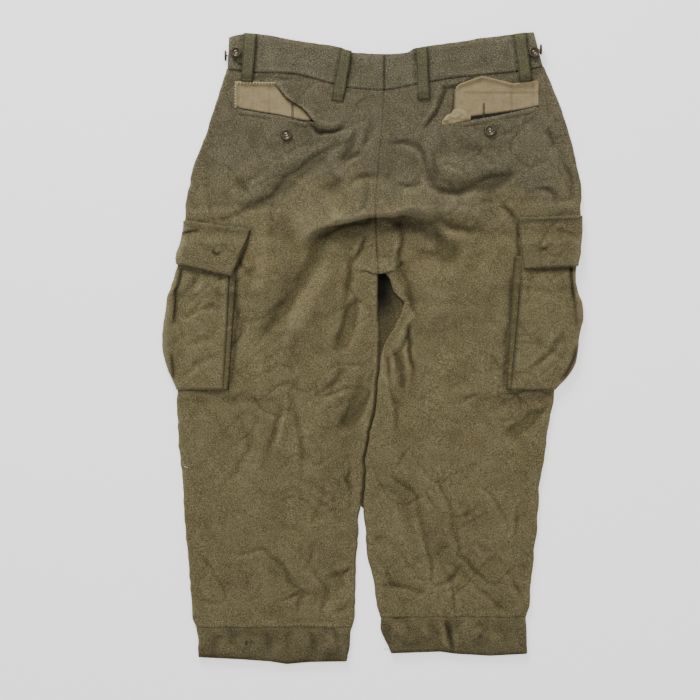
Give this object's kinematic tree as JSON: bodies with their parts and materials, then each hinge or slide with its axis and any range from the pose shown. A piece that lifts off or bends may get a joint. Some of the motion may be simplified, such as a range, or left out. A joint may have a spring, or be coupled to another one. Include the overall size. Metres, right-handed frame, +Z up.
{
  "type": "cargo trousers",
  "caption": "Loose wool field trousers laid flat, back side up, with wrapped cargo pockets, gaping hip pockets, belt loops, side tabs and cuffs.",
  "frame": {"origin": "on the surface the trousers lie on, under the middle of their outline", "axes": "+Y towards the waist, +X towards the wearer's right side, +Z up out of the back of the trousers"},
  "size_m": [0.6091, 0.9122, 0.0289],
  "materials": {
    "wool": "heavy felted olive-brown wool with mixed fibres",
    "waist_wool": "the same wool, greyer, topstitched",
    "loop_wool": "smoother darker wool strips",
    "cotton": "plain woven beige cotton",
    "buttons": "dark brown moulded, four holes"
  },
  "bodies": {
    "root": {"back_leg_left": "wool", "back_leg_right": "wool", "belt_loop_inner_left": "loop_wool", "belt_loop_inner_right": "loop_wool", "belt_loop_outer_left": "loop_wool", "belt_loop_outer_right": "loop_wool", "cargo_bellows_back_left": "wool", "cargo_bellows_back_right": "wool", "cargo_bellows_front_left": "wool", "cargo_bellows_front_right": "wool", "cargo_flap_left": "wool", "cargo_flap_right": "wool", "cargo_pocket_left": "wool", "cargo_pocket_right": "wool", "cuff_back_left": "wool", "cuff_back_right": "wool", "cuff_front_left": "wool", "cuff_front_right": "wool", "fly_placket": "wool", "front_leg_left": "wool", "front_leg_right": "wool", "front_loop_left": "loop_wool", "front_loop_right": "loop_wool", "hip_bag_right": "cotton", "hip_button_left": "buttons", "hip_button_right": "buttons", "hip_facing_left": "cotton", "hip_facing_right": "cotton", "hip_welt_left": "wool", "hip_welt_right": "wool", "side_button_left": "buttons", "side_button_right": "buttons", "side_tab_left": "loop_wool", "side_tab_right": "loop_wool", "tab_button_left": "buttons", "tab_button_right": "buttons", "waistband_back_left": "waist_wool", "waistband_back_right": "waist_wool", "waistband_front_left": "waist_wool", "waistband_front_right": "waist_wool"}
  },
  "joints": []
}
